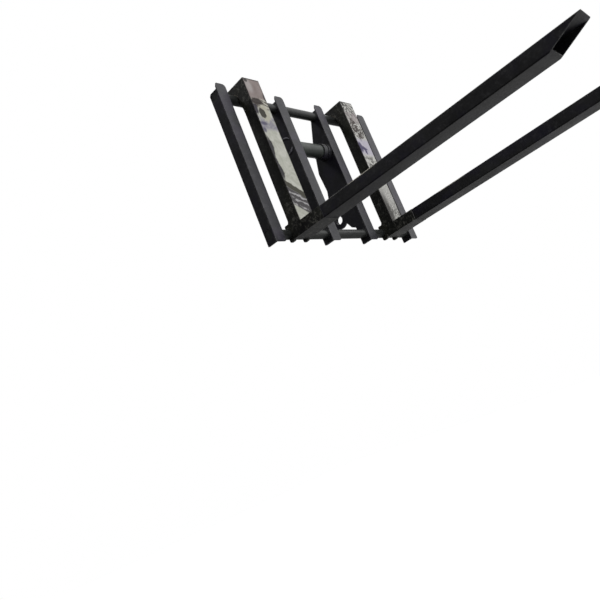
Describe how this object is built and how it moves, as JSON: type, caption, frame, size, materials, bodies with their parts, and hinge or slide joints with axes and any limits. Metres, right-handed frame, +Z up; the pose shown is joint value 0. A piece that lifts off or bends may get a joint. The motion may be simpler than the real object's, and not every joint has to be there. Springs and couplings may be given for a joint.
{
  "type": "pallet fork attachment",
  "caption": "Pallet fork carriage with round cross shafts and hollow forks that slide along the upper shaft and swing up on it, for the head of a small telescopic handler.",
  "frame": {"origin": "centre of the part's base: below the middle of its overall box, level with the lower ends of the uprights", "axes": "+Z up along the uprights, +Y from the blade tips towards the carriage and the machine, +X across the carriage from the fork named left to the fork named right"},
  "size_m": [0.984, 1.3379, 0.709],
  "materials": {
    "black_paint": "satin black paint with worn edges",
    "shaft_paint": "satin dark grey paint",
    "bare_steel": "bare steel with paint remains",
    "liner_steel": "greased bare steel"
  },
  "bodies": {
    "carriage": {"upright_strip_1": "black_paint", "upright_strip_2": "black_paint", "upright_strip_3": "black_paint", "upright_strip_4": "black_paint", "upright_web_1": "black_paint", "upright_web_4": "black_paint", "ear_plate_2": "black_paint", "ear_plate_3": "black_paint", "hitch_flange_left": "black_paint", "hitch_stop_left": "black_paint", "hitch_stop_right": "black_paint", "hitch_flange_right": "black_paint", "pin_boss_left": "black_paint", "pin_boss_right": "black_paint", "upper_shaft": "shaft_paint", "lower_shaft": "shaft_paint", "hitch_tube": "shaft_paint"},
    "liner_left": {"fork_left_hook_liner": "liner_steel"},
    "fork_left": {"fork_left_cheek_outer": "black_paint", "fork_left_cheek_inner": "black_paint", "fork_left_face": "bare_steel", "fork_left_back": "black_paint", "fork_left_cap": "black_paint", "fork_left_heel_top": "black_paint", "fork_left_heel_bottom": "black_paint", "fork_left_heel_back": "black_paint", "fork_left_blade": "black_paint"},
    "liner_right": {"fork_right_hook_liner": "liner_steel"},
    "fork_right": {"fork_right_cheek_outer": "black_paint", "fork_right_cheek_inner": "black_paint", "fork_right_face": "bare_steel", "fork_right_back": "black_paint", "fork_right_cap": "black_paint", "fork_right_heel_top": "black_paint", "fork_right_heel_bottom": "black_paint", "fork_right_heel_back": "black_paint", "fork_right_blade": "black_paint"}
  },
  "joints": [
    {"name": "fork_left_slide", "type": "slide", "parent": "carriage", "child": "liner_left", "axis": [1, 0, 0], "range_m": [-0.05, 0.132]},
    {"name": "fork_left_swing", "type": "hinge", "parent": "liner_left", "child": "fork_left", "pos_m": [-0.34, 0.5345, 0.654], "axis": [-1, 0, 0], "range_deg": [0, 60]},
    {"name": "fork_right_slide", "type": "slide", "parent": "carriage", "child": "liner_right", "axis": [1, 0, 0], "range_m": [-0.081, 0.1]},
    {"name": "fork_right_swing", "type": "hinge", "parent": "liner_right", "child": "fork_right", "pos_m": [0.289, 0.5345, 0.654], "axis": [-1, 0, 0], "range_deg": [0, 60]}
  ]
}
